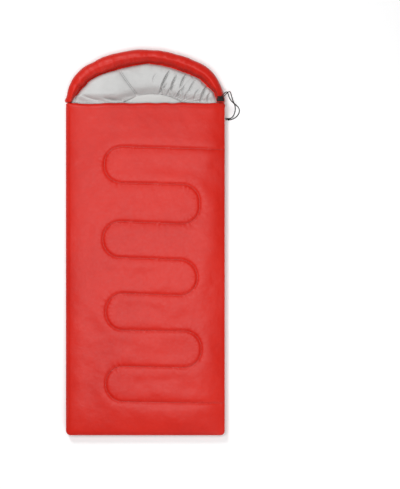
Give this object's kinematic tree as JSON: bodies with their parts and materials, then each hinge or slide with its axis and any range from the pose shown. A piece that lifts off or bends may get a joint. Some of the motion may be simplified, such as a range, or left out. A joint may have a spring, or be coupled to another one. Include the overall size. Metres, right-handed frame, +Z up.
{
  "type": "rectangular sleeping bag",
  "caption": "Rectangular envelope sleeping bag lying flat: padded quilts folded on one edge and zipped on the other, curved gathered hood with a drawcord and spring cord lock.",
  "frame": {"origin": "on the ground under the middle of the bag's outline, with the trailing drawcord left out", "axes": "+Z up from the ground, +Y from the foot to the hood, +X towards the zip side"},
  "size_m": [0.9378, 2.0743, 0.1333],
  "materials": {
    "shell_red": "satin",
    "lining_grey": "satin",
    "filling": "matte",
    "thread_red": "satin",
    "zip_tape": "matte",
    "zip_coil": "satin",
    "zip_metal": "satin",
    "lock_black": "satin",
    "lock_spring": "polished",
    "cord_black": "matte"
  },
  "bodies": {
    "back_quilt": {"back_shell": "shell_red", "back_fill": "filling", "back_lining": "lining_grey", "fold_strip_back": "shell_red", "fold_corner_back": "shell_red", "zip_tape_back": "zip_tape", "zip_coil_back": "zip_coil", "zip_stops_back": "zip_metal", "hood_corner_shell": "shell_red", "hood_corner_fill": "filling", "hood_corner_lining": "lining_grey", "hood_corner_channel": "shell_red", "hood_corner_drawcord": "cord_black", "drawcord_exit_patch": "shell_red", "drawcord_tail_a": "cord_black", "drawcord_tail_b": "cord_black", "drawcord_knot": "cord_black", "drawcord_ends": "cord_black"},
    "top_quilt": {"top_shell": "shell_red", "top_fill": "filling", "top_lining": "lining_grey", "fold_strip_top": "shell_red", "fold_corner_top": "shell_red", "top_quilting_thread": "thread_red", "zip_tape_top": "zip_tape", "zip_coil_top": "zip_coil", "zip_stops_top": "zip_metal"},
    "hood": {"hood_shell": "shell_red", "hood_fill": "filling", "hood_lining": "lining_grey", "hood_cord_channel": "shell_red", "hood_drawcord": "cord_black"},
    "side_slider": {"side_slider": "zip_metal"},
    "side_pull": {"side_slider_pull": "zip_metal"},
    "foot_slider": {"foot_slider": "zip_metal"},
    "foot_pull": {"foot_slider_pull": "zip_metal"},
    "cord_lock": {"cord_lock_barrel": "lock_black", "cord_lock_spring": "lock_spring"},
    "lock_plunger": {"cord_lock_plunger": "lock_black"}
  },
  "joints": [
    {"name": "top_quilt_fold", "type": "hinge", "parent": "back_quilt", "child": "top_quilt", "pos_m": [-0.428, -0.142, 0.042], "axis": [0, -1, 0], "range_deg": [0, 180]},
    {"name": "hood_fold", "type": "hinge", "parent": "back_quilt", "child": "hood", "pos_m": [0, 0.753, 0.084], "axis": [1, 0, 0], "range_deg": [0, 45]},
    {"name": "side_slider_run", "type": "slide", "parent": "back_quilt", "child": "side_slider", "axis": [0, -1, 0], "range_m": [0, 1.69]},
    {"name": "side_pull_swing", "type": "hinge", "parent": "side_slider", "child": "side_pull", "pos_m": [0.4188, 0.726, 0.042], "axis": [0, 0, 1], "range_deg": [0, 150]},
    {"name": "foot_slider_run", "type": "slide", "parent": "back_quilt", "child": "foot_slider", "axis": [1, 0, 0], "range_m": [0, 0.74]},
    {"name": "foot_pull_swing", "type": "hinge", "parent": "foot_slider", "child": "foot_pull", "pos_m": [-0.38, -1.0278, 0.042], "axis": [0, 0, -1], "range_deg": [0, 150]},
    {"name": "cord_lock_run", "type": "slide", "parent": "back_quilt", "child": "cord_lock", "axis": [0, 0, 1], "range_m": [0, 0.008]},
    {"name": "lock_press", "type": "slide", "parent": "cord_lock", "child": "lock_plunger", "axis": [0, -1, 0], "range_m": [0, 0.0035], "stiffness_N_per_m": 400, "springref_m": -0.01, "deforming": ["cord_lock_spring"]}
  ]
}
